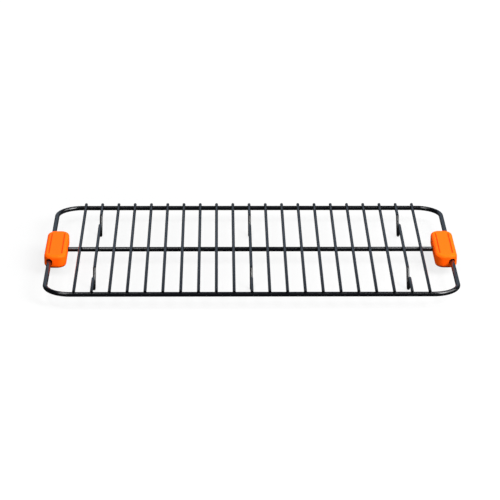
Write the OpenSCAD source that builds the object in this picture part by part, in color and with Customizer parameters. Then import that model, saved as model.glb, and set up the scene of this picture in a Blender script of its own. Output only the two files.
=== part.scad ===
// Wire cooling rack: a rod frame with a centre rail, cross wires welded on top, three of them bent down
// into feet, and a two-shell grip around the middle of each short side.
// Millimetres. X runs along the rack, Y from front to rear, Z up. The origin lies on the surface that the
// feet stand on, under the middle of the rack.

/* [Frame] */
// Length of the rod frame, outside to outside
frame_len = 400; // [280:5:560]
// Depth of the rod frame, outside to outside
frame_dep = 250; // [200:5:400]
// Thickness of the round rod that the frame and the centre rail are made of
rod_d = 4.6; // [3.6:0.1:6]
// Bend radius of the frame's corners, at the middle of the rod
corner_r = 25; // [12:1:40]

/* [Cross wires] */
// Number of cross wires, an odd number
wire_count = 21; // [9:2:31]
// Thickness of a cross wire
wire_d = 3; // [2:0.1:4]
// Space between each side rod and the wire nearest to it, middle to middle
end_space = 28.7; // [22:0.1:40]
// How deep welding sets a wire into the rod that it crosses, and the rail's ends into the side rods
weld_set = 0.4; // [0.1:0.05:0.8]
// How far a wire's end stops inside the outer face of the frame
wire_end_inset = 0.5; // [0:0.1:2]
// Rounding of a wire's cut end
wire_end_ease = 0.4; // [0.1:0.1:0.8]

/* [Feet] */
// Which wire is bent into feet, counted from either end; the middle wire is bent too
foot_wire_place = 2; // [1:1:4]
// Drop from the cross wires to the tip of a foot, middle of wire to middle of wire
foot_drop = 16; // [12:0.5:30]
// Bend radius at the tip of a foot, at the middle of the wire
foot_tip_r = 3; // [2:0.5:6]
// Bend radius where the wire turns down into a foot, at the middle of the wire
foot_neck_r = 3.5; // [2.5:0.5:6]
// Distance from the long rod to the middle of a foot
foot_inset = 47.7; // [26:0.1:60]

/* [Grips] */
// Length of a grip along the side rod
grip_len = 74; // [60:1:110]
// Width of a grip
grip_w = 21.6; // [18:0.2:27]
// How far a grip stands outside the middle of the side rod
grip_outside = 5.3; // [4.8:0.1:7]
// Height of the upper shell above the middle of the side rod
grip_above = 6.7; // [5.5:0.1:10]
// Depth of the lower shell below the middle of the side rod
grip_below = 6.6; // [4.3:0.1:8]
// Rounding of a grip's corners, seen from above
grip_corner_r = 9; // [4:0.5:9]
// Rounding of the upper shell's top edge
grip_top_ease = 3.2; // [1:0.1:3.5]
// Rounding of the lower shell's bottom edge
grip_bottom_ease = 3.2; // [1:0.1:3.5]
// Gap around the rod and the rail inside a grip
channel_fit = 0.1; // [0.05:0.05:0.3]
// Gap around the rod at the flared mouth in each end of a grip
mouth_gap = 1; // [0.5:0.1:1.2]
// Depth of that mouth
mouth_depth = 4; // [2:0.5:10]

/* [Grip grooves] */
// Length of a finger groove in the top of a grip
groove_len = 56; // [30:1:60]
// Spacing of the two grooves, middle to middle
groove_space = 12.5; // [8:0.5:14]
// Width of a groove at the surface
groove_w = 1.4; // [0.8:0.1:2]
// Depth of a groove
groove_depth = 0.6; // [0.3:0.1:1]

/* [Grip pegs] */
// Thickness of the pegs that hold the two shells of a grip together
peg_d = 4; // [3:0.5:5]
// Length of a peg below the split between the shells
peg_len = 3; // [2:0.1:3.2]
// Spacing of the pegs along the grip
peg_space = 36; // [20:1:46]
// Gap around a peg in its socket
peg_fit = 0.1; // [0.05:0.05:0.3]
// Gap between a peg's end and the bottom of its socket
peg_end_gap = 0.3; // [0.1:0.1:0.5]

/* [Hidden] */
$fn = 48;
rod_r = rod_d / 2;
wire_r = wire_d / 2;

// Middle lines of the frame's side rods and long rods
side_x = frame_len / 2 - rod_r;
long_y = frame_dep / 2 - rod_r;

// Heights above the standing surface: the foot tips touch it
wire_z = wire_r + foot_drop;
rod_z = wire_z - (wire_r + rod_r - weld_set);

wire_pitch = 2 * (side_x - end_space) / (wire_count - 1);
wire_end_y = frame_dep / 2 - wire_end_inset;
middle_wire = (wire_count + 1) / 2;

// A foot's sides climb 4 for every 3 across, tangent to the bends at the tip and at the necks.
// foot_half is where a side's line would meet the wire's, and foot_reach is where the neck's bend starts.
slope_cos = 3 / 5;
slope_sin = 4 / 5;
foot_slope = atan2(slope_sin, slope_cos);
foot_half = (foot_tip_r + (foot_drop - foot_tip_r) * slope_cos) / slope_sin;
foot_reach = foot_half + foot_neck_r * slope_sin / (1 + slope_cos);
foot_y = long_y - foot_inset;

// Middle of the right-hand grip and the places inside it
grip_x = side_x + grip_outside - grip_w / 2;
grip_inner_x = side_x + grip_outside - grip_w;

// A narrow grip's corners are limited by its width, so that a straight stays between them
grip_end_straight = 2;
corner_fit = min(grip_corner_r, (grip_w - grip_end_straight) / 2);
channel_d = rod_d + 2 * channel_fit;
mouth_d = rod_d + 2 * mouth_gap;
peg_x = (side_x - channel_d / 2 + grip_inner_x) / 2;
socket_d = peg_d + 2 * peg_fit;
socket_depth = peg_len + peg_end_gap;

// A groove is the lower part of a round bar whose width at the surface is groove_w
groove_r = (pow(groove_w / 2, 2) + pow(groove_depth, 2)) / (2 * groove_depth);
groove_z = rod_z + grip_above - groove_depth + groove_r;

coated_black = [0.08, 0.08, 0.09];
coated_slate = [0.23, 0.25, 0.28];
grip_orange = [1, 0.46, 0.05];

function is_foot_wire(i) =
    i == foot_wire_place || i == middle_wire || i == wire_count + 1 - foot_wire_place;
function wire_x(i) = (i - middle_wire) * wire_pitch;
function two_digits(i) = str(i < 10 ? "0" : "", i);
function wire_name(i) = str(is_foot_wire(i) ? "foot_wire_" : "cross_wire_", two_digits(i));

// ---- round bar, straight and bent, in the XY plane ----

// Half outline of a straight bar, with the edge of each end eased
module bar_outline(r, length, ease_a, ease_b) {
    square([r - max(ease_a, ease_b), length]);
    translate([0, ease_a])
        square([r, length - ease_a - ease_b]);
    if (ease_a > 0)
        translate([r - ease_a, ease_a])
            intersection() {
                circle(ease_a);
                translate([0, -ease_a])
                    square(ease_a);
            }
    if (ease_b > 0)
        translate([r - ease_b, length - ease_b])
            intersection() {
                circle(ease_b);
                square(ease_b);
            }
}

// Straight bar of diameter d from point a to point b
module run(a, b, d, ease_a = 0, ease_b = 0) {
    length = norm(b - a);
    translate([a.x, a.y, 0])
        rotate([0, 90, atan2(b.y - a.y, b.x - a.x)])
            if (ease_a + ease_b > 0)
                rotate_extrude()
                    bar_outline(d / 2, length, ease_a, ease_b);
            else
                cylinder(d = d, h = length);
}

// Bar of diameter d bent around centre, from one angle and through a sweep
module bend(centre, radius, from, sweep, d) {
    translate([centre.x, centre.y, 0])
        rotate(from)
            rotate_extrude(angle = sweep)
                translate([radius, 0])
                    circle(d = d);
}

// ---- frame ----

module ring_rod() {
    bend_x = side_x - corner_r;
    bend_y = long_y - corner_r;
    translate([0, 0, rod_z]) {
        for (s = [-1, 1]) {
            run([-bend_x, s * long_y], [bend_x, s * long_y], rod_d);
            run([s * side_x, -bend_y], [s * side_x, bend_y], rod_d);
        }
        bend([bend_x, bend_y], corner_r, 0, 90, rod_d);
        bend([-bend_x, bend_y], corner_r, 90, 90, rod_d);
        bend([-bend_x, -bend_y], corner_r, 180, 90, rod_d);
        bend([bend_x, -bend_y], corner_r, 270, 90, rod_d);
    }
}

// The rail butts against the side rods and is set into them by the weld
module rail_rod() {
    rail_end = side_x - rod_r + weld_set;
    difference() {
        translate([0, 0, rod_z])
            run([-rail_end, 0], [rail_end, 0], rod_d);
        ring_rod();
    }
}

// ---- cross wires ----

// Straight wire, drawn along X
module straight_wire() {
    run([-wire_end_y, 0], [wire_end_y, 0], wire_d, wire_end_ease, wire_end_ease);
}

// One foot: the wire turns down, rounds the tip and comes up again
module foot() {
    tip = [0, foot_tip_r - foot_drop];
    neck = [foot_reach, -foot_neck_r];
    across = [slope_sin, -slope_cos];
    for (s = [0, 1])
        mirror([s, 0, 0]) {
            bend(tip, foot_tip_r, 270, foot_slope, wire_d);
            run(tip + foot_tip_r * across, neck - foot_neck_r * across, wire_d);
            bend(neck, foot_neck_r, 90, foot_slope, wire_d);
        }
}

// Wire with a front and a rear foot, drawn along X
module bent_wire() {
    inner = foot_y - foot_reach;
    outer = foot_y + foot_reach;
    run([-inner, 0], [inner, 0], wire_d);
    for (s = [0, 1])
        mirror([s, 0, 0]) {
            translate([foot_y, 0, 0])
                foot();
            run([outer, 0], [wire_end_y, 0], wire_d, 0, wire_end_ease);
        }
}

// Wire number i in its place, saddled over the rods that it is welded to
module cross_wire(i) {
    color(coated_slate)
        difference() {
            translate([wire_x(i), 0, wire_z])
                rotate([90, 0, 90])
                    if (is_foot_wire(i))
                        bent_wire();
                    else
                        straight_wire();
            ring_rod();
            rail_rod();
        }
}

// ---- grips ----

// Outline of a shell from a corner's axis outwards, height h, with its far edge eased
module edge_outline(h, ease) {
    square([corner_fit - ease, h]);
    square([corner_fit, h - ease]);
    translate([corner_fit - ease, h - ease])
        intersection() {
            circle(ease);
            square(ease);
        }
}

// Rounded block of height h on the split plane, centred on the grip
module shell_block(h, ease) {
    core_x = grip_w / 2 - corner_fit;
    core_y = grip_len / 2 - corner_fit;
    translate([-core_x, -core_y, 0])
        cube([2 * core_x, 2 * core_y, h]);
    for (s = [0, 1])
        rotate(180 * s) {
            translate([core_x, core_y, 0])
                rotate([90, 0, 0])
                    linear_extrude(2 * core_y)
                        edge_outline(h, ease);
            translate([-core_x, core_y, 0])
                rotate([90, 0, 90])
                    linear_extrude(2 * core_x)
                        edge_outline(h, ease);
            translate([core_x, core_y, 0])
                rotate_extrude(angle = 90)
                    edge_outline(h, ease);
            translate([-core_x, core_y, 0])
                rotate(90)
                    rotate_extrude(angle = 90)
                        edge_outline(h, ease);
        }
}

// Channels for the side rod and the rail, and the mouths where the rod leaves the grip
module rod_channels() {
    past = 1;
    half = grip_len / 2;
    translate([0, 0, rod_z]) {
        run([side_x, -half - past], [side_x, half + past], channel_d);
        run([grip_inner_x - past, 0], [side_x, 0], channel_d);
        for (s = [-1, 1])
            run([side_x, s * (half - mouth_depth)], [side_x, s * (half + past)], mouth_d);
    }
}

// Round-bottomed grooves with round ends
module finger_grooves() {
    half = groove_len / 2;
    for (s = [-1, 1])
        translate([grip_x + s * groove_space / 2, 0, groove_z]) {
            run([0, -half], [0, half], 2 * groove_r);
            for (t = [-1, 1])
                translate([0, t * half, 0])
                    sphere(groove_r);
        }
}

// The pegs' places, from height z upwards
module at_pegs(z) {
    for (s = [-1, 1])
        translate([peg_x, s * peg_space / 2, z])
            children();
}

module grip_upper() {
    difference() {
        translate([grip_x, 0, rod_z])
            shell_block(grip_above, grip_top_ease);
        rod_channels();
        finger_grooves();
    }
    at_pegs(rod_z - peg_len)
        cylinder(d = peg_d, h = peg_len);
}

module grip_lower() {
    difference() {
        translate([grip_x, 0, rod_z])
            mirror([0, 0, 1])
                shell_block(grip_below, grip_bottom_ease);
        rod_channels();
        at_pegs(rod_z - socket_depth)
            cylinder(d = socket_d, h = socket_depth);
    }
}

// ---- the nodes ----

module frame_ring() {
    color(coated_black)
        ring_rod();
}

module centre_rail() {
    color(coated_black)
        rail_rod();
}

module left_grip_upper() {
    color(grip_orange)
        mirror([1, 0, 0])
            grip_upper();
}

module left_grip_lower() {
    color(grip_orange)
        mirror([1, 0, 0])
            grip_lower();
}

module right_grip_upper() {
    color(grip_orange)
        grip_upper();
}

module right_grip_lower() {
    color(grip_orange)
        grip_lower();
}

frame_ring();
centre_rail();
for (i = [1:wire_count])
    cross_wire(i);
left_grip_upper();
left_grip_lower();
right_grip_upper();
right_grip_lower();
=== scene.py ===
import math

import bmesh
import bpy
from mathutils import Matrix, Vector


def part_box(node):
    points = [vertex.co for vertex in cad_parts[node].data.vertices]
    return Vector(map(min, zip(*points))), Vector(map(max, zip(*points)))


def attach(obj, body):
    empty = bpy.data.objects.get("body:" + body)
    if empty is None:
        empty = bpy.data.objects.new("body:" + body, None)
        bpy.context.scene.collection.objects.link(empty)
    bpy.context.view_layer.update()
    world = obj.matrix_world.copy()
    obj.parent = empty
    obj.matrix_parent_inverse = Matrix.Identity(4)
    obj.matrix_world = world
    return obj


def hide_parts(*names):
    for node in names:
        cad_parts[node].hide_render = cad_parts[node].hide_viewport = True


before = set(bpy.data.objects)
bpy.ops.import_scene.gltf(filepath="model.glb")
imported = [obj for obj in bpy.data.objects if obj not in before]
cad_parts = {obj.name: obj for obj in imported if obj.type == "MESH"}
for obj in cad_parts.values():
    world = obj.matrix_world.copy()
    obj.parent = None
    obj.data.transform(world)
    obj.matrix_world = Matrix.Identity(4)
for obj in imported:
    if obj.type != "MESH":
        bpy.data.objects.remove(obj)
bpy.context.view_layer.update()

bl_info = {
    "name": "Wire Cooling Rack",
    "version": (1, 0, 0),
    "blender": (4, 5, 0),
    "location": "View3D > Sidebar > Rack",
    "description": "Builds a coated wire cooling rack with soft grips",
    "category": "Add Mesh",
}

# ---- places that the frame gives, in metres ----

RING_LOW, RING_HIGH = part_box("frame_ring")
WIRE_LOW, WIRE_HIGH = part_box("cross_wire_01")
CUP_LOW, CUP_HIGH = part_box("right_grip_lower")

ROD_D = RING_HIGH.z - RING_LOW.z
ROD_Z = (RING_HIGH.z + RING_LOW.z) / 2
SIDE_X = RING_HIGH.x - ROD_D / 2
LONG_Y = RING_HIGH.y - ROD_D / 2
WIRE_D = WIRE_HIGH.x - WIRE_LOW.x
WIRE_Z = WIRE_HIGH.z - WIRE_D / 2
WIRE_END_Y = WIRE_HIGH.y
RAIL_END_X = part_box("centre_rail")[1].x
GRIP_TOP_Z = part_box("right_grip_upper")[1].z
GRIP_X = (CUP_LOW.x + CUP_HIGH.x) / 2
GRIP_W = CUP_HIGH.x - CUP_LOW.x
GRIP_LEN = CUP_HIGH.y - CUP_LOW.y

STRAIGHT_WIRES = sorted(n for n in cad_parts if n.startswith("cross_wire_"))
FOOT_WIRES = sorted(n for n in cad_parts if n.startswith("foot_wire_"))


def node_x(node):
    """Middle of a wire's node across the rack."""
    low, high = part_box(node)
    return (low.x + high.x) / 2


# ---- sizes and colours that a user would change ----


def length(name, description, default):
    """A length in metres that a user can change."""
    return bpy.props.FloatProperty(
        name=name, description=description, default=default, min=0.0, max=1.0,
        precision=5, unit="LENGTH",
    )


def colour(name, description, default):
    """A colour that a user can change."""
    return bpy.props.FloatVectorProperty(
        name=name, description=description, default=default, min=0.0, max=1.0,
        size=3, subtype="COLOR",
    )


def share(name, description, default):
    """A share from nought to one that a user can change."""
    return bpy.props.FloatProperty(
        name=name, description=description, default=default, min=0.0, max=1.0,
        subtype="FACTOR",
    )


class RodSizes(bpy.types.PropertyGroup):
    """Sizes of the frame's rods and the wires."""

    rod_d: length("Rod thickness", "Thickness of the frame's rod", ROD_D)
    corner_r: length("Corner bend", "Bend radius of the frame's corners", 0.025)
    wire_d: length("Wire thickness", "Thickness of a cross wire", WIRE_D)
    end_ease: length("Wire end rounding", "Rounding of a wire's cut end", 0.0004)
    foot_inset: length("Foot inset", "Long rod to the middle of a foot", 0.0477)
    foot_drop: length("Foot drop", "Drop from the wires to a foot's tip", 0.016)
    foot_tip_r: length("Foot tip bend", "Bend radius at a foot's tip", 0.003)
    foot_neck_r: length("Foot neck bend", "Bend radius above a foot", 0.0035)
    weld_reach: length("Weld reach", "How far a weld spreads from the contact", 0.0018)


class GripSizes(bpy.types.PropertyGroup):
    """Sizes of the grips' shells."""

    corner_r: length("Corner rounding", "Rounding seen from above", 0.009)
    top_ease: length("Top rounding", "Rounding of the top edge", 0.0032)
    bottom_ease: length("Bottom rounding", "Rounding of the bottom edge", 0.0032)
    edge_ease: length("Edge easing", "Easing of every crisp edge left by the cuts", 0.00022)
    lip_slope: length("Lip slope", "Length of the slope from channel to mouth", 0.00025)
    channel_gap: length("Channel gap", "Gap around the rod inside a grip", 0.0001)
    mouth_gap: length("Mouth gap", "Gap around the rod at a grip's end", 0.001)
    mouth_depth: length("Mouth depth", "Depth of the wider mouth", 0.004)
    groove_len: length("Groove length", "Length of a finger groove", 0.056)
    groove_space: length("Groove spacing", "Middle to middle", 0.0125)
    groove_w: length("Groove width", "Width at the surface", 0.0014)
    groove_depth: length("Groove depth", "Depth of a finger groove", 0.0006)
    peg_d: length("Peg thickness", "Thickness of the joining pegs", 0.004)
    peg_len: length("Peg length", "Length below the split", 0.003)
    peg_space: length("Peg spacing", "Middle to middle", 0.036)
    peg_gap: length("Peg gap", "Gap around a peg and at its end", 0.0001)


class Finishes(bpy.types.PropertyGroup):
    """Colours and gloss of the coating, the grips and the floor."""

    coating: colour("Coating", "Colour of the baked coating", (0.0018, 0.0021, 0.0030))
    coating_rough: share("Coating roughness", "Roughness of the coating", 0.2)
    grip: colour("Grip", "Colour of the grips", (0.95, 0.092, 0.002))
    grip_rough: share("Grip roughness", "Roughness of the grips", 0.5)
    floor: colour("Floor", "Colour of the floor", (0.9, 0.9, 0.9))


# ---- shaping helpers ----

# Turns that lay a new cylinder or circle along an axis
ALONG_X = (0, math.pi / 2, 0)
ALONG_Y = (math.pi / 2, 0, 0)
UPRIGHT = (0, 0, 0)

# Doubles merge within the first distance, a mirrored seam within the second, and two heights
# or places count as the same within the third
MERGE = 0.000002
SEAM_MERGE = 0.00001
SAME = 0.000001

# How nearly along an axis a face has to point to be picked by its direction
FACING = 0.9

# Degrees between two faces up to which the shading runs on smoothly across their edge
ROD_SMOOTH = 60
WIRE_SMOOTH = 40
WELD_SMOOTH = 180
GRIP_SMOOTH = 35


def clear_selection():
    """Leaves nothing selected, in object mode."""
    if bpy.context.object and bpy.context.object.mode != "OBJECT":
        bpy.ops.object.mode_set(mode="OBJECT")
    bpy.ops.object.select_all(action="DESELECT")


def pick(piece):
    """Selects one piece alone and makes it the active one."""
    clear_selection()
    piece.select_set(True)
    bpy.context.view_layer.objects.active = piece


def settle(name):
    """Applies the active piece's place to its mesh and names it."""
    bpy.ops.object.transform_apply(location=True, rotation=True, scale=True)
    piece = bpy.context.active_object
    piece.name = name
    piece.data.name = name
    return piece


def start_edit():
    """Goes into edit mode on the active piece."""
    bpy.ops.object.mode_set(mode="EDIT")
    bpy.ops.mesh.select_mode(type="VERT")


def choose(piece, test, kind="FACE"):
    """Selects the faces, edges or vertices that pass a test, in edit mode."""
    bpy.ops.mesh.select_mode(type=kind)
    bpy.ops.mesh.select_all(action="DESELECT")
    shape = bmesh.from_edit_mesh(piece.data)
    items = {"FACE": shape.faces, "EDGE": shape.edges, "VERT": shape.verts}[kind]
    for item in items:
        if test(item):
            item.select_set(True)
    shape.select_flush_mode()
    bmesh.update_edit_mesh(piece.data)


def extrude_by(step):
    """Draws the selected end out in a straight line."""
    bpy.ops.mesh.extrude_region_move(TRANSFORM_OT_translate={"value": step})


def sweep(centre, axis, angle, steps):
    """Turns the selected end of a bar round a bend, anticlockwise about the axis."""
    bpy.ops.mesh.spin(steps=steps, dupli=False, angle=-angle, center=centre, axis=axis)


def close_shape():
    """Merges the piece's doubles, turns every face outwards and leaves edit mode."""
    bpy.ops.mesh.select_mode(type="VERT")
    bpy.ops.mesh.select_all(action="SELECT")
    bpy.ops.mesh.remove_doubles(threshold=MERGE)
    bpy.ops.mesh.normals_make_consistent(inside=False)
    bpy.ops.object.mode_set(mode="OBJECT")


def smooth(piece, degrees):
    """Shades a piece smoothly, except across edges sharper than this."""
    pick(piece)
    bpy.ops.object.shade_smooth_by_angle(angle=math.radians(degrees))


def apply_modifier(piece, kind, **settings):
    """Adds a modifier with these settings and applies it."""
    pick(piece)
    bpy.ops.object.modifier_add(type=kind)
    modifier = piece.modifiers[-1]
    for key, value in settings.items():
        setattr(modifier, key, value)
    bpy.ops.object.modifier_apply(modifier=modifier.name)


def copy_piece(piece, name, shift=(0, 0, 0)):
    """A copy with its own mesh, shifted in its mesh."""
    pick(piece)
    bpy.ops.object.duplicate(linked=False)
    bpy.ops.transform.translate(value=shift)
    return settle(name)


def mirrored_copy(piece, name):
    """A copy on the other side of the rack, its faces turned outwards again."""
    copied = copy_piece(piece, name)
    pick(copied)
    bpy.ops.transform.resize(value=(-1, 1, 1), center_override=(0, 0, 0))
    settle(name)
    start_edit()
    close_shape()
    return copied


def join_pieces(pieces, name):
    """Joins pieces into one mesh."""
    clear_selection()
    for piece in pieces:
        piece.select_set(True)
    bpy.context.view_layer.objects.active = pieces[0]
    bpy.ops.object.join()
    return settle(name)


def remove_piece(piece):
    """Deletes a pattern, a cutter or a helper."""
    pick(piece)
    bpy.ops.object.delete()


def hand_over(piece, slot, material, *nodes):
    """Gives a finished piece its material and its body, and hides the nodes it stands for."""
    piece.data.materials.clear()
    piece.data.materials.append(material)
    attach(piece, "root")
    if nodes:
        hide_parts(*nodes)


# ---- materials ----

# The shared surface: how finely its patches and its grain are broken up, how big a speck is
# beside the space round it, and how high the patches stand beside the grain
PATCH_DETAIL = 4.0
GRAIN_DETAIL = 2.0
SPECK_SIZE = 0.22
PATCH_HEIGHT = 0.35

# Worn colours are this many times as bright, for the grips by red, green and blue
COATING_PALER = 1.7
GRIP_PALER = (1.05, 1.35, 1.5)

# Each finish's patches, grain and specks, then its relief and its gloss
ROD_WEAR = {"Patchiness": 0.16, "Patch Scale": 55.0, "Grain Scale": 1100.0, "Speck Share": 0.12}
WIRE_WEAR = {"Patchiness": 0.24, "Patch Scale": 38.0, "Grain Scale": 1100.0, "Speck Share": 0.12}
GRIP_WEAR = {"Patchiness": 0.1, "Patch Scale": 70.0, "Grain Scale": 2200.0, "Speck Share": 0.05}
COATING_RELIEF = {"Strength": 0.12, "Distance": 0.0002}
GRIP_RELIEF = {"Strength": 0.1, "Distance": 0.00012}
COATING_GLOSS = {"Specular IOR Level": 0.4}
GRIP_GLOSS = {"Specular IOR Level": 0.03}

# The painted shade in the finger grooves: its colour and amount, its reach to each side as a
# share of a groove's width, its reach past a groove's end, and the softness of both borders
GROOVE_SHADE_COLOUR = (0.5, 0.03, 0.001, 1)
GROOVE_SHADE_AMOUNT = 0.8
GROOVE_SHADE_REACH = 0.6
GROOVE_SHADE_PAST_END = 0.0007
GROOVE_SHADE_SIDE_SOFT = 0.0004
GROOVE_SHADE_END_SOFT = 0.0006


def add_node(tree, kind, **settings):
    """A new shader node with these settings."""
    node = tree.nodes.new(kind)
    for key, value in settings.items():
        setattr(node, key, value)
    return node


def add_math(tree, operation, first, second, clamp=False):
    """A Math node on two values or sockets, and its output."""
    node = add_node(tree, "ShaderNodeMath", operation=operation, use_clamp=clamp)
    for socket, value in zip(node.inputs, (first, second)):
        if isinstance(value, (int, float)):
            socket.default_value = value
        else:
            tree.links.new(value, socket)
    return node.outputs[0]


def set_inputs(node, values):
    """Sets a node's inputs by their names."""
    for key, value in values.items():
        node.inputs[key].default_value = value


def unsigned(tree, value):
    """A value without its sign."""
    return add_math(tree, "ABSOLUTE", value, 0)


def add_mix(tree, factor, first, second):
    """A colour mix of two colours or sockets, and its output."""
    node = add_node(tree, "ShaderNodeMix", data_type="RGBA")
    tree.links.new(factor, node.inputs["Factor"])
    for socket, value in ((node.inputs[6], first), (node.inputs[7], second)):
        if isinstance(value, (tuple, list)):
            socket.default_value = value
        else:
            tree.links.new(value, socket)
    return node.outputs[2]


def new_group(name, inputs, outputs):
    """An empty node group with these sockets, and its two end nodes."""
    tree = bpy.data.node_groups.new(name, "ShaderNodeTree")
    for label, kind, default in inputs:
        socket = tree.interface.new_socket(name=label, in_out="INPUT", socket_type=kind)
        if default is not None:
            socket.default_value = default
    for label, kind in outputs:
        tree.interface.new_socket(name=label, in_out="OUTPUT", socket_type=kind)
    return tree, tree.nodes.new("NodeGroupInput"), tree.nodes.new("NodeGroupOutput")


def build_surface_group():
    """Patchy colour and roughness and a fine relief, all from the place on the piece."""
    tree, start, end = new_group(
        "surface_detail",
        [
            ("Vector", "NodeSocketVector", None),
            ("Colour", "NodeSocketColor", (0.5, 0.5, 0.5, 1)),
            ("Worn Colour", "NodeSocketColor", (0.6, 0.6, 0.6, 1)),
            ("Roughness", "NodeSocketFloat", 0.4),
            ("Patchiness", "NodeSocketFloat", 0.1),
            ("Patch Scale", "NodeSocketFloat", 60.0),
            ("Grain Scale", "NodeSocketFloat", 1500.0),
            ("Speck Share", "NodeSocketFloat", 0.1),
        ],
        [
            ("Colour", "NodeSocketColor"),
            ("Roughness", "NodeSocketFloat"),
            ("Height", "NodeSocketFloat"),
        ],
    )
    vector = start.outputs["Vector"]
    patches = add_node(tree, "ShaderNodeTexNoise")
    patches.inputs["Detail"].default_value = PATCH_DETAIL
    tree.links.new(vector, patches.inputs["Vector"])
    tree.links.new(start.outputs["Patch Scale"], patches.inputs["Scale"])
    grain = add_node(tree, "ShaderNodeTexNoise")
    grain.inputs["Detail"].default_value = GRAIN_DETAIL
    tree.links.new(vector, grain.inputs["Vector"])
    tree.links.new(start.outputs["Grain Scale"], grain.inputs["Scale"])
    specks = add_node(tree, "ShaderNodeTexVoronoi")
    tree.links.new(vector, specks.inputs["Vector"])
    tree.links.new(start.outputs["Grain Scale"], specks.inputs["Scale"])

    centred = add_math(tree, "SUBTRACT", patches.outputs["Fac"], 0.5)
    swing = add_math(tree, "MULTIPLY", centred, start.outputs["Patchiness"])
    rough = add_math(tree, "ADD", start.outputs["Roughness"], swing, clamp=True)
    tree.links.new(rough, end.inputs["Roughness"])

    near = add_math(tree, "LESS_THAN", specks.outputs["Distance"], SPECK_SIZE)
    few = add_math(tree, "MULTIPLY", near, start.outputs["Speck Share"])
    tint = add_math(tree, "MULTIPLY", patches.outputs["Fac"], start.outputs["Patchiness"])
    blend = add_math(tree, "ADD", tint, few, clamp=True)
    mixed = add_mix(tree, blend, start.outputs["Colour"], start.outputs["Worn Colour"])
    tree.links.new(mixed, end.inputs["Colour"])

    low = add_math(tree, "MULTIPLY", patches.outputs["Fac"], PATCH_HEIGHT)
    tree.links.new(add_math(tree, "ADD", grain.outputs["Fac"], low), end.inputs["Height"])
    return tree


def build_groove_shade_group():
    """Painted shade in the finger grooves of both grips, laid over the colour by the place."""
    tree, start, end = new_group(
        "groove_painted_shade",
        [
            ("Vector", "NodeSocketVector", None),
            ("Colour", "NodeSocketColor", (0.5, 0.5, 0.5, 1)),
            ("Painted Shade Colour", "NodeSocketColor", (0.1, 0.1, 0.1, 1)),
            ("Amount", "NodeSocketFloat", 0.5),
        ],
        [("Colour", "NodeSocketColor")],
    )
    sizes = bpy.context.scene.rack_grips
    # The painted shade lies along each groove and a little past its ends, on the grip's top only
    apart = add_node(tree, "ShaderNodeSeparateXYZ")
    tree.links.new(start.outputs["Vector"], apart.inputs["Vector"])
    from_middle = unsigned(tree, apart.outputs["X"])
    from_grip = unsigned(tree, add_math(tree, "SUBTRACT", from_middle, GRIP_X))
    from_groove = unsigned(tree, add_math(tree, "SUBTRACT", from_grip, sizes.groove_space / 2))
    across = fade(tree, from_groove, sizes.groove_w * GROOVE_SHADE_REACH, GROOVE_SHADE_SIDE_SOFT)
    reach = sizes.groove_len / 2 + GROOVE_SHADE_PAST_END
    along = fade(tree, unsigned(tree, apart.outputs["Y"]), reach, GROOVE_SHADE_END_SOFT)
    top = add_math(tree, "GREATER_THAN", apart.outputs["Z"], GRIP_TOP_Z - 2 * sizes.groove_depth)
    inside = add_math(tree, "MULTIPLY", add_math(tree, "MULTIPLY", across, along), top)
    amount = add_math(tree, "MULTIPLY", inside, start.outputs["Amount"], clamp=True)
    mixed = add_mix(tree, amount, start.outputs["Colour"], start.outputs["Painted Shade Colour"])
    tree.links.new(mixed, end.inputs["Colour"])
    return tree


def fade(tree, distance, limit, softness):
    """One inside a limit and nought outside it, with a soft step between."""
    step = add_node(tree, "ShaderNodeMapRange", interpolation_type="SMOOTHSTEP")
    tree.links.new(distance, step.inputs["Value"])
    set_inputs(
        step, {"From Min": limit - softness, "From Max": limit, "To Min": 1.0, "To Max": 0.0}
    )
    return step.outputs["Result"]


def add_groove_painted_shade(material, colour_of, amount):
    """Puts the painted shade of the grooves between a material's colour and its shader."""
    tree = material.node_tree
    shader = tree.nodes["Principled BSDF"]
    link = shader.inputs["Base Color"].links[0]
    source = link.from_socket
    tree.links.remove(link)
    place = next(n for n in tree.nodes if n.bl_idname == "ShaderNodeTexCoord")
    painted_shade = add_node(tree, "ShaderNodeGroup", node_tree=build_groove_shade_group())
    tree.links.new(place.outputs["Object"], painted_shade.inputs["Vector"])
    tree.links.new(source, painted_shade.inputs["Colour"])
    painted_shade.inputs["Painted Shade Colour"].default_value = colour_of
    painted_shade.inputs["Amount"].default_value = amount
    tree.links.new(painted_shade.outputs["Colour"], shader.inputs["Base Color"])


def surface_material(name, detail, values, relief, gloss):
    """Makes a material with the shared surface detail and its own values, relief and gloss."""
    material = bpy.data.materials.new(name)
    material.use_nodes = True
    tree = material.node_tree
    shader = tree.nodes["Principled BSDF"]
    place = add_node(tree, "ShaderNodeTexCoord")
    group = add_node(tree, "ShaderNodeGroup", node_tree=detail)
    tree.links.new(place.outputs["Object"], group.inputs["Vector"])
    set_inputs(group, values)
    tree.links.new(group.outputs["Colour"], shader.inputs["Base Color"])
    tree.links.new(group.outputs["Roughness"], shader.inputs["Roughness"])
    bump = add_node(tree, "ShaderNodeBump")
    set_inputs(bump, relief)
    tree.links.new(group.outputs["Height"], bump.inputs["Height"])
    tree.links.new(bump.outputs["Normal"], shader.inputs["Normal"])
    set_inputs(shader, gloss)
    material.diffuse_color = values["Colour"]


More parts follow.
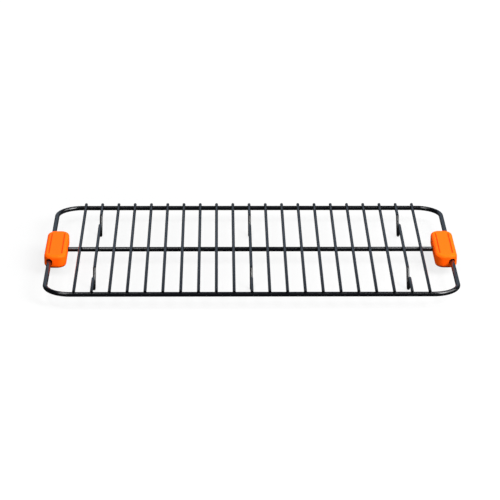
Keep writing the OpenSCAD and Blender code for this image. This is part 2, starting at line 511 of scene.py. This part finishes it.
def make_finishes():
    """Makes the rods' coating, the wires' coating and the grips' silicone."""
    chosen = bpy.context.scene.rack_finishes
    detail = build_surface_group()
    coating = {
        "Colour": (*chosen.coating, 1),
        "Worn Colour": (*[c * COATING_PALER for c in chosen.coating], 1),
        "Roughness": chosen.coating_rough,
    }
    silicone = {
        "Colour": (*chosen.grip, 1),
        "Worn Colour": (*[min(1, c * p) for c, p in zip(chosen.grip, GRIP_PALER)], 1),
        "Roughness": chosen.grip_rough,
    }
    for name, values, relief, gloss in (
        ("rod_coating", {**coating, **ROD_WEAR}, COATING_RELIEF, COATING_GLOSS),
        ("wire_coating", {**coating, **WIRE_WEAR}, COATING_RELIEF, COATING_GLOSS),
        ("grip_silicone", {**silicone, **GRIP_WEAR}, GRIP_RELIEF, GRIP_GLOSS),
    ):
        surface_material(name, detail, values, relief, gloss)
    # Paints shade into the grips' finger grooves, over their silicone colour
    add_groove_painted_shade(bpy.data.materials["grip_silicone"], GROOVE_SHADE_COLOUR, GROOVE_SHADE_AMOUNT)


def finish(name):
    """One of the rack's finishes, all made when the first is asked for."""
    if name not in bpy.data.materials:
        make_finishes()
    return bpy.data.materials[name]


# ---- the pieces ----

# Sides of a rod and a wire, and steps round a frame corner and a foot's neck and tip
ROD_SIDES = 32
WIRE_SIDES = 24
CORNER_STEPS = 20
NECK_STEPS = 8
TIP_STEPS = 14

# The rail's end: how far its face is ringed in from the rim and how much the rim is eased,
# the angle in radians that makes an edge a rim, and the share of the length where the end starts
RAIL_INSET = 0.0003
RAIL_EASE = 0.0002
RIM_ANGLE = 0.8
RAIL_END_FROM = 0.99

# A foot's sides go four down for every three along
FOOT_SLOPE = math.atan2(4, 3)

# A weld before its two rims are laid onto the wire and the rod: its sides, its height, how far
# from half height its middle reaches, and how much narrower that middle is
WELD_SIDES = 20
WELD_HEIGHT = 0.0012
WELD_MIDDLE = 0.0002
WELD_WAIST = (0.76, 0.84, 1)

# The cylinders that the rims are laid onto: how far inside the real surface they lie
WELD_SINK = 0.00004
GUIDE_SIDES = 96
GUIDE_LENGTH = 0.02

# Segments of a grip's upright corners, of its top and bottom edges and of a crisp edge, and
# the degrees between faces that make an edge crisp
CORNER_SEGMENTS = 12
RIM_SEGMENTS = 8
EASE_SEGMENTS = 2
EASE_ANGLE = 40

# The grips' cutters: their sides, how far they run past what they cut, how far a peg and a
# socket cross the split, and how many gaps deeper than its peg a socket is
CHANNEL_SIDES = 64
PEG_SIDES = 32
GROOVE_SEGMENTS = 32
GROOVE_RINGS = 16
CUT_PAST = 0.002
SPLIT_OVERLAP = 0.0005
SOCKET_GAPS = 3


class RACK_OT_frame_ring(bpy.types.Operator):
    """Builds the rod frame: four straights and four bends, closed on itself."""

    bl_idname = "rack.frame_ring"
    bl_label = "Frame Ring"

    def execute(self, context):
        sizes = context.scene.rack_rods
        bend_x = SIDE_X - sizes.corner_r
        bend_y = LONG_Y - sizes.corner_r
        clear_selection()
        bpy.ops.mesh.primitive_circle_add(
            vertices=ROD_SIDES, radius=sizes.rod_d / 2, fill_type="NOTHING",
            location=(-bend_x, -LONG_Y, ROD_Z), rotation=ALONG_X,
        )
        ring = settle("ring")
        start_edit()
        bpy.ops.mesh.select_all(action="SELECT")
        turns = (
            ((2 * bend_x, 0, 0), (bend_x, -bend_y)),
            ((0, 2 * bend_y, 0), (bend_x, bend_y)),
            ((-2 * bend_x, 0, 0), (-bend_x, bend_y)),
            ((0, -2 * bend_y, 0), (-bend_x, -bend_y)),
        )
        for straight, middle in turns:
            extrude_by(straight)
            sweep((*middle, ROD_Z), (0, 0, 1), math.pi / 2, CORNER_STEPS)
        close_shape()
        smooth(ring, ROD_SMOOTH)
        hand_over(ring, "coated_rod", finish("rod_coating"), "frame_ring")
        return {"FINISHED"}


class RACK_OT_centre_rail(bpy.types.Operator):
    """Builds the centre rail, the rims of its ends eased where they sit inside the grips."""

    bl_idname = "rack.centre_rail"
    bl_label = "Centre Rail"

    def execute(self, context):
        sizes = context.scene.rack_rods
        clear_selection()
        bpy.ops.mesh.primitive_cylinder_add(
            vertices=ROD_SIDES, radius=sizes.rod_d / 2, depth=2 * RAIL_END_X,
            end_fill_type="NGON", location=(0, 0, ROD_Z), rotation=ALONG_X,
        )
        rail = settle("rail")
        start_edit()
        choose(rail, lambda f: abs(f.normal.x) > FACING)
        bpy.ops.mesh.inset(thickness=RAIL_INSET)
        end_x = RAIL_END_X * RAIL_END_FROM
        choose(
            rail,
            lambda e: e.calc_face_angle(0) > RIM_ANGLE and abs(e.verts[0].co.x) > end_x,
            "EDGE",
        )
        bpy.ops.mesh.bevel(offset=RAIL_EASE, segments=3, affect="EDGES")
        close_shape()
        smooth(rail, ROD_SMOOTH)
        hand_over(rail, "coated_rod", finish("rod_coating"), "centre_rail")
        return {"FINISHED"}


class RACK_OT_straight_wires(bpy.types.Operator):
    """Builds one straight wire with rounded ends, then copies it to each place."""

    bl_idname = "rack.straight_wires"
    bl_label = "Straight Wires"

    def execute(self, context):
        sizes = context.scene.rack_rods
        clear_selection()
        bpy.ops.mesh.primitive_cylinder_add(
            vertices=WIRE_SIDES, radius=sizes.wire_d / 2, depth=2 * WIRE_END_Y,
            end_fill_type="NGON", location=(0, 0, WIRE_Z), rotation=ALONG_Y,
        )
        first = settle("wire_pattern")
        start_edit()
        round_wire_ends(first, sizes.end_ease)
        close_shape()
        for node in STRAIGHT_WIRES:
            wire = copy_piece(first, "wire_" + node[-2:], (node_x(node), 0, 0))
            smooth(wire, WIRE_SMOOTH)
            hand_over(wire, "coated_wire", finish("wire_coating"), node)
        remove_piece(first)
        return {"FINISHED"}


def round_wire_ends(piece, ease):
    """Rounds the rims of a wire's two cut ends."""
    reach = max(abs(v.co.y) for v in bmesh.from_edit_mesh(piece.data).verts)
    choose(
        piece,
        lambda e: all(abs(abs(v.co.y) - reach) < SAME for v in e.verts),
        "EDGE",
    )
    bpy.ops.mesh.bevel(offset=ease, segments=4, affect="EDGES", clamp_overlap=True)


class RACK_OT_foot_wires(bpy.types.Operator):
    """Builds one wire bent down into a front and a rear foot, then copies it to each place."""

    bl_idname = "rack.foot_wires"
    bl_label = "Foot Wires"

    def execute(self, context):
        sizes = context.scene.rack_rods
        slope = FOOT_SLOPE
        rise = sizes.foot_drop - sizes.foot_tip_r
        half = (sizes.foot_tip_r + rise * math.cos(slope)) / math.sin(slope)
        reach = half + sizes.foot_neck_r * math.sin(slope) / (1 + math.cos(slope))
        middle = -(LONG_Y - sizes.foot_inset)
        across = (0, math.cos(slope), -math.sin(slope))
        neck_z = WIRE_Z - sizes.foot_neck_r
        tip_z = WIRE_Z + sizes.foot_tip_r - sizes.foot_drop

        clear_selection()
        bpy.ops.mesh.primitive_circle_add(
            vertices=WIRE_SIDES, radius=sizes.wire_d / 2, fill_type="NGON",
            location=(0, -WIRE_END_Y, WIRE_Z), rotation=ALONG_Y,
        )
        first = settle("foot_pattern")
        start_edit()
        bpy.ops.mesh.select_all(action="SELECT")
        # Only the open end moves on, so the cap stays behind at the wire's front end
        bpy.ops.mesh.duplicate()
        bpy.ops.mesh.delete(type="ONLY_FACE")
        choose(first, lambda v: len(v.link_faces) == 0, "VERT")
        extrude_by((0, middle - reach + WIRE_END_Y, 0))
        sweep((0, middle - reach, neck_z), (1, 0, 0), -slope, NECK_STEPS)
        down = side_length(sizes)
        extrude_by(tuple(down * c for c in across))
        sweep((0, middle, tip_z), (1, 0, 0), 2 * slope, TIP_STEPS)
        extrude_by((0, down * across[1], -down * across[2]))
        sweep((0, middle + reach, neck_z), (1, 0, 0), -slope, NECK_STEPS)
        extrude_by((0, -(middle + reach), 0))
        close_shape()
        apply_modifier(
            first, "MIRROR", use_axis=(False, True, False), merge_threshold=SEAM_MERGE
        )
        start_edit()
        round_wire_ends(first, sizes.end_ease)
        close_shape()
        for node in FOOT_WIRES:
            wire = copy_piece(first, "footed_wire_" + node[-2:], (node_x(node), 0, 0))
            smooth(wire, WIRE_SMOOTH)
            hand_over(wire, "coated_wire", finish("wire_coating"), node)
        remove_piece(first)
        return {"FINISHED"}


def side_length(sizes):
    """Length of a foot's straight side, between the bends at its neck and its tip."""
    turned = (sizes.foot_neck_r + sizes.foot_tip_r) * (1 - math.cos(FOOT_SLOPE))
    return (sizes.foot_drop - turned) / math.sin(FOOT_SLOPE)


class RACK_OT_welds(bpy.types.Operator):
    """Builds one weld's fillet between a wire and a rod, then copies it to every crossing."""

    bl_idname = "rack.welds"
    bl_label = "Welds"

    def execute(self, context):
        sizes = context.scene.rack_rods
        touch_z = (ROD_Z + ROD_D / 2 + WIRE_Z - WIRE_D / 2) / 2
        helpers = []
        for kind, radius, z, turn in (
            ("wire", sizes.wire_d / 2, WIRE_Z, ALONG_Y),
            ("rod", sizes.rod_d / 2, ROD_Z, ALONG_X),
        ):
            clear_selection()
            bpy.ops.mesh.primitive_cylinder_add(
                vertices=GUIDE_SIDES, radius=radius - WELD_SINK, depth=GUIDE_LENGTH,
                location=(0, 0, z), rotation=turn,
            )
            helpers.append(settle(kind + "_surface"))
        clear_selection()
        bpy.ops.mesh.primitive_cylinder_add(
            vertices=WELD_SIDES, radius=sizes.weld_reach, depth=WELD_HEIGHT,
            end_fill_type="NGON", location=(0, 0, touch_z),
        )
        first = settle("weld_pattern")
        start_edit()
        choose(first, lambda e: abs(e.verts[0].co.z - e.verts[1].co.z) > WELD_HEIGHT / 2, "EDGE")
        bpy.ops.mesh.subdivide(number_cuts=1)
        choose(first, lambda v: abs(v.co.z - touch_z) < WELD_MIDDLE, "VERT")
        bpy.ops.transform.resize(value=WELD_WAIST, center_override=(0, 0, touch_z))
        bpy.ops.object.mode_set(mode="OBJECT")
        for side, label, helper in ((1, "on_wire", helpers[0]), (-1, "on_rod", helpers[1])):
            group = first.vertex_groups.new(name=label)
            rim = [
                v.index for v in first.data.vertices if (v.co.z - touch_z) * side > WELD_MIDDLE
            ]
            group.add(rim, 1.0, "REPLACE")
            apply_modifier(
                first, "SHRINKWRAP", target=helper, vertex_group=label,
                wrap_method="NEAREST_SURFACEPOINT", wrap_mode="ON_SURFACE",
            )
        apply_modifier(first, "SUBSURF", levels=1, render_levels=1)
        first.vertex_groups.clear()
        start_edit()
        close_shape()
        wires = [node_x(n) for n in STRAIGHT_WIRES + FOOT_WIRES]
        for label, y in (("front", -LONG_Y), ("middle", 0.0), ("rear", LONG_Y)):
            row = [copy_piece(first, "weld_copy", (x, y, 0)) for x in wires]
            welds = join_pieces(row, "welds_" + label)
            smooth(welds, WELD_SMOOTH)
            hand_over(welds, "coated_wire", finish("wire_coating"))
        for helper in [first, *helpers]:
            remove_piece(helper)
        return {"FINISHED"}


def shell_block(name, height, sign, ease, corner_r):
    """A grip shell's outside, from the split up (sign 1) or down (sign -1), its edges rounded."""
    clear_selection()
    bpy.ops.mesh.primitive_cube_add(
        size=1, location=(GRIP_X, 0, ROD_Z + sign * height / 2), scale=(GRIP_W, GRIP_LEN, height)
    )
    shell = settle(name)
    start_edit()
    choose(shell, lambda e: abs(e.verts[0].co.z - e.verts[1].co.z) > height / 2, "EDGE")
    bpy.ops.mesh.bevel(offset=corner_r, segments=CORNER_SEGMENTS, affect="EDGES")
    far = ROD_Z + sign * height
    choose(shell, lambda e: all(abs(v.co.z - far) < SAME for v in e.verts), "EDGE")
    bpy.ops.mesh.bevel(offset=ease, segments=RIM_SEGMENTS, affect="EDGES")
    close_shape()
    return shell


def cut_away(shell, cutter):
    """Cuts one shape out of a shell and removes the cutter."""
    apply_modifier(shell, "BOOLEAN", operation="DIFFERENCE", object=cutter, solver="EXACT")
    remove_piece(cutter)


def add_on(shell, part):
    """Joins one shape onto a shell for good and removes it."""
    apply_modifier(shell, "BOOLEAN", operation="UNION", object=part, solver="EXACT")
    remove_piece(part)


def round_cutter(radius, depth, place, turn, sides):
    """A cylinder to cut with or to add, not yet used."""
    clear_selection()
    bpy.ops.mesh.primitive_cylinder_add(
        vertices=sides, radius=radius, depth=depth, location=place, rotation=turn
    )
    return settle("cutter")


def rod_cutter(sizes, rods):
    """The side rod's channel with a wider mouth at each end, as one closed shape."""
    channel_r = rods.rod_d / 2 + sizes.channel_gap
    mouth_r = rods.rod_d / 2 + sizes.mouth_gap
    inner_y = GRIP_LEN / 2 - sizes.mouth_depth
    cutter = round_cutter(
        channel_r, 2 * inner_y, (SIDE_X, 0, ROD_Z), ALONG_Y, CHANNEL_SIDES
    )
    widen = mouth_r / channel_r
    start_edit()
    for end in (-1, 1):
        # By place as well as by direction, or the other mouth's sloping step is picked too
        choose(
            cutter,
            lambda f: f.normal.y * end > FACING and f.calc_center_median().y * end > inner_y / 2,
        )
        bpy.ops.mesh.extrude_region_move()
        bpy.ops.transform.resize(value=(widen, 1, widen), center_override=(SIDE_X, 0, ROD_Z))
        bpy.ops.transform.translate(value=(0, end * sizes.lip_slope, 0))
        extrude_by((0, end * (sizes.mouth_depth + CUT_PAST), 0))
    close_shape()
    return cutter


def cut_channels(shell, sizes, rods):
    """Cuts the side rod's channel with its two mouths, and the rail's channel."""
    cut_away(shell, rod_cutter(sizes, rods))
    inner = GRIP_X - GRIP_W / 2 - CUT_PAST
    middle = ((inner + SIDE_X) / 2, 0, ROD_Z)
    channel_r = rods.rod_d / 2 + sizes.channel_gap
    cut_away(shell, round_cutter(channel_r, SIDE_X - inner, middle, ALONG_X, CHANNEL_SIDES))


def cut_grooves(shell, sizes, top_z):
    """Cuts two round-bottomed finger grooves with round ends."""
    half_w = sizes.groove_w / 2
    groove_r = (half_w ** 2 + sizes.groove_depth ** 2) / (2 * sizes.groove_depth)
    groove_z = top_z - sizes.groove_depth + groove_r
    for side in (-1, 1):
        clear_selection()
        bpy.ops.mesh.primitive_uv_sphere_add(
            segments=GROOVE_SEGMENTS, ring_count=GROOVE_RINGS, radius=groove_r,
            location=(GRIP_X + side * sizes.groove_space / 2, 0, groove_z),
            rotation=ALONG_Y,
        )
        cutter = settle("cutter")
        start_edit()
        for end in (-1, 1):
            choose(cutter, lambda v: v.co.y * end > SAME, "VERT")
            bpy.ops.transform.translate(value=(0, end * sizes.groove_len / 2, 0))
        bpy.ops.object.mode_set(mode="OBJECT")
        cut_away(shell, cutter)


def ease_edges(shell, width):
    """Softens every crisp edge of a shell a little, then shades it."""
    apply_modifier(
        shell, "BEVEL", width=width, segments=EASE_SEGMENTS, limit_method="ANGLE",
        angle_limit=math.radians(EASE_ANGLE), harden_normals=False,
    )
    start_edit()
    close_shape()
    flatten_shading(shell)


def flatten_shading(shell):
    """Shades a shell smoothly, with normals that keep its flats flat."""
    smooth(shell, GRIP_SMOOTH)
    apply_modifier(shell, "WEIGHTED_NORMAL", keep_sharp=True)


class RACK_OT_grips(bpy.types.Operator):
    """Builds the right grip's two shells, then mirrors them for the left grip."""

    bl_idname = "rack.grips"
    bl_label = "Grips"

    def execute(self, context):
        sizes = context.scene.rack_grips
        rods = context.scene.rack_rods
        above = GRIP_TOP_Z - ROD_Z
        below = ROD_Z - CUP_LOW.z
        silicone = finish("grip_silicone")
        peg_x = (SIDE_X - rods.rod_d / 2 - sizes.channel_gap + GRIP_X - GRIP_W / 2) / 2

        upper = shell_block("grip_top_right", above, 1, sizes.top_ease, sizes.corner_r)
        cut_channels(upper, sizes, rods)
        cut_grooves(upper, sizes, GRIP_TOP_Z)
        lower = shell_block("grip_base_right", below, -1, sizes.bottom_ease, sizes.corner_r)
        cut_channels(lower, sizes, rods)
        socket_depth = sizes.peg_len + SOCKET_GAPS * sizes.peg_gap
        for side in (-1, 1):
            for shell, change, radius, depth in (
                (upper, add_on, sizes.peg_d / 2, sizes.peg_len),
                (lower, cut_away, sizes.peg_d / 2 + sizes.peg_gap, socket_depth),
            ):
                middle_z = ROD_Z + (SPLIT_OVERLAP - depth) / 2
                place = (peg_x, side * sizes.peg_space / 2, middle_z)
                post = round_cutter(radius, depth + SPLIT_OVERLAP, place, UPRIGHT, PEG_SIDES)
                change(shell, post)
        for shell in (upper, lower):
            ease_edges(shell, sizes.edge_ease)
        left_upper = mirrored_copy(upper, "grip_top_left")
        left_lower = mirrored_copy(lower, "grip_base_left")
        for shell in (left_upper, left_lower):
            flatten_shading(shell)
        hand_over(upper, "grip", silicone, "right_grip_upper")
        hand_over(lower, "grip", silicone, "right_grip_lower")
        hand_over(left_upper, "grip", silicone, "left_grip_upper")
        hand_over(left_lower, "grip", silicone, "left_grip_lower")
        return {"FINISHED"}


# ---- the stage ----


# The floor's width, the share of light that it shows and the share that it throws back up at
# the rack, and its own pale glow, which grows from one distance to another from the middle
FLOOR_SIZE = 80
FLOOR_SHADE = 0.1
FLOOR_THROW = 0.04
FLOOR_LIFT = 0.81
FLOOR_LIFT_FAR = 0.97
FLOOR_LIFT_FROM = 0.2
FLOOR_LIFT_TO = 0.75

# The faint light from all round, and the tint of a plain lamp
SKY_COLOUR = (0.94, 0.97, 1.0, 1)
SKY_GLOW = 0.03
NEUTRAL = (1, 1, 1)

# Each light's name, place, size, glow and tint. All face the middle of the floor, and an
# overhead light's second size points towards it. None hangs straight above the rack
STUDIO_LIGHTS = (
    ("left_strip", (-0.56, -0.2, 1.5), (1.0, 0.3), 13, NEUTRAL),
    ("right_strip", (0.56, -0.2, 1.5), (1.0, 0.3), 13, NEUTRAL),
    ("right_box", (1.3, -0.2, 1.05), (1.5, 1.2), 6, NEUTRAL),
    ("front_left_box", (-1.1, -1.3, 1.4), (1.0, 1.0), 6, NEUTRAL),
    ("front_right_box", (1.45, -1.2, 1.4), (1.0, 1.0), 21, NEUTRAL),
    ("rear_wall", (0, 2.6, 0.95), (4.5, 1.3), 0.5, (0.66, 0.8, 1)),
)

# The camera's lens and film width in millimetres, its pitch, yaw and roll in degrees, its
# distance from the rack's middle, and how far right of and above the view's centre that lies
LENS_MM = 180.9
FILM_MM = 36.0
VIEW_ANGLES = (20.42, 0.746, 0.204)
VIEW_DISTANCE = 2.4984
OFF_RIGHT = 0.000438
OFF_UP = 0.000865
CLIP_START = 0.1
CLIP_END = 50


def soft_light(name, place, size, power, tint):
    """Hangs a rectangular soft light that faces the middle of the floor."""
    lamp = bpy.data.lights.new(name, "AREA")
    lamp.shape = "RECTANGLE"
    lamp.size = size[0]
    lamp.size_y = size[1]
    lamp.energy = power
    lamp.color = tint
    holder = bpy.data.objects.new(name, lamp)
    bpy.context.scene.collection.objects.link(holder)
    holder.location = place
    holder.rotation_mode = "QUATERNION"
    holder.rotation_quaternion = (Vector() - Vector(place)).to_track_quat("-Z", "Y")


def floor_paper(pale):
    """White paper that shows soft shadows but throws little light back up."""
    paper = bpy.data.materials.new("floor_paper")
    paper.use_nodes = True
    tree = paper.node_tree
    tree.nodes.remove(tree.nodes["Principled BSDF"])
    out = tree.nodes["Material Output"]
    seen = add_node(tree, "ShaderNodeBsdfDiffuse")
    seen.inputs["Color"].default_value = (*[c * FLOOR_SHADE for c in pale], 1)
    lift = add_node(tree, "ShaderNodeEmission")
    place = add_node(tree, "ShaderNodeTexCoord")
    reach = add_node(tree, "ShaderNodeVectorMath", operation="LENGTH")
    tree.links.new(place.outputs["Object"], reach.inputs[0])
    rise = add_node(tree, "ShaderNodeMapRange", interpolation_type="SMOOTHSTEP")
    set_inputs(rise, {
        "From Min": FLOOR_LIFT_FROM, "From Max": FLOOR_LIFT_TO,
        "To Min": FLOOR_LIFT, "To Max": FLOOR_LIFT_FAR,
    })
    tree.links.new(reach.outputs["Value"], rise.inputs["Value"])
    tree.links.new(rise.outputs["Result"], lift.inputs["Strength"])
    shown = add_node(tree, "ShaderNodeAddShader")
    tree.links.new(seen.outputs[0], shown.inputs[0])
    tree.links.new(lift.outputs[0], shown.inputs[1])
    thrown = add_node(tree, "ShaderNodeBsdfDiffuse")
    thrown.inputs["Color"].default_value = (*[c * FLOOR_THROW for c in pale], 1)
    ray = add_node(tree, "ShaderNodeLightPath")
    choice = add_node(tree, "ShaderNodeMixShader")
    tree.links.new(ray.outputs["Is Camera Ray"], choice.inputs[0])
    tree.links.new(thrown.outputs[0], choice.inputs[1])
    tree.links.new(shown.outputs[0], choice.inputs[2])
    tree.links.new(choice.outputs[0], out.inputs["Surface"])
    return paper


class RACK_OT_stage(bpy.types.Operator):
    """Builds the floor, the soft lights and the camera."""

    bl_idname = "rack.stage"
    bl_label = "Stage"

    def execute(self, context):
        scene = context.scene
        clear_selection()
        bpy.ops.mesh.primitive_plane_add(size=FLOOR_SIZE, location=(0, 0, 0))
        floor = settle("floor")
        floor.data.materials.append(floor_paper(scene.rack_finishes.floor))

        world = bpy.data.worlds.new("studio")
        scene.world = world
        world.use_nodes = True
        sky = world.node_tree.nodes["Background"]
        set_inputs(sky, {"Color": SKY_COLOUR, "Strength": SKY_GLOW})
        for label, place, size, glow, tint in STUDIO_LIGHTS:
            power = glow * math.pi * size[0] * size[1]
            soft_light(label, place, size, power, tint)

        pitch, yaw, roll = (math.radians(a) for a in VIEW_ANGLES)
        aim = Vector((0, 0, ROD_Z))
        forward = Vector((
            math.sin(yaw) * math.cos(pitch), math.cos(yaw) * math.cos(pitch), -math.sin(pitch),
        ))
        right = Vector((math.cos(yaw), -math.sin(yaw), 0))
        up = right.cross(forward)
        view_right = right * math.cos(roll) + up * math.sin(roll)
        view_up = up * math.cos(roll) - right * math.sin(roll)
        turn = Matrix((view_right, view_up, -forward)).transposed()
        camera = bpy.data.objects.new("camera", bpy.data.cameras.new("camera"))
        scene.collection.objects.link(camera)
        camera.data.lens = LENS_MM
        camera.data.sensor_width = FILM_MM
        camera.data.dof.use_dof = False
        off_centre = view_right * OFF_RIGHT + view_up * OFF_UP
        camera.location = aim - forward * VIEW_DISTANCE - off_centre
        camera.rotation_mode = "QUATERNION"
        camera.rotation_quaternion = turn.to_quaternion()
        camera.data.clip_start = CLIP_START
        camera.data.clip_end = CLIP_END
        scene.camera = camera
        scene.view_settings.view_transform = "Standard"
        return {"FINISHED"}


# ---- the panel and the run ----

STEPS = (
    RACK_OT_frame_ring, RACK_OT_centre_rail, RACK_OT_straight_wires, RACK_OT_foot_wires,
    RACK_OT_welds, RACK_OT_grips, RACK_OT_stage,
)
SETTINGS = {"rack_rods": RodSizes, "rack_grips": GripSizes, "rack_finishes": Finishes}


class RACK_PT_panel(bpy.types.Panel):
    """Lists the rack's pieces and their sizes."""

    bl_idname = "RACK_PT_panel"
    bl_label = "Cooling Rack"
    bl_space_type = "VIEW_3D"
    bl_region_type = "UI"
    bl_category = "Rack"

    def draw(self, context):
        layout = self.layout
        for step in STEPS:
            layout.operator(step.bl_idname)
        for group in SETTINGS:
            box = layout.box()
            settings = getattr(context.scene, group)
            for key in settings.__annotations__:
                box.prop(settings, key)


CLASSES = (*SETTINGS.values(), *STEPS, RACK_PT_panel)


def register():
    """Registers every class and hangs the settings on the scene."""
    for cls in CLASSES:
        bpy.utils.register_class(cls)
    for name, group in SETTINGS.items():
        setattr(bpy.types.Scene, name, bpy.props.PointerProperty(type=group))


def unregister():
    """Takes the settings and every class away again."""
    for name in SETTINGS:
        delattr(bpy.types.Scene, name)
    for cls in reversed(CLASSES):
        bpy.utils.unregister_class(cls)


def main():
    """Registers the add-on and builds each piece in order."""
    register()
    bpy.ops.rack.frame_ring()
    bpy.ops.rack.centre_rail()
    bpy.ops.rack.straight_wires()
    bpy.ops.rack.foot_wires()
    bpy.ops.rack.welds()
    bpy.ops.rack.grips()
    bpy.ops.rack.stage()


if __name__ == "__main__":
    main()
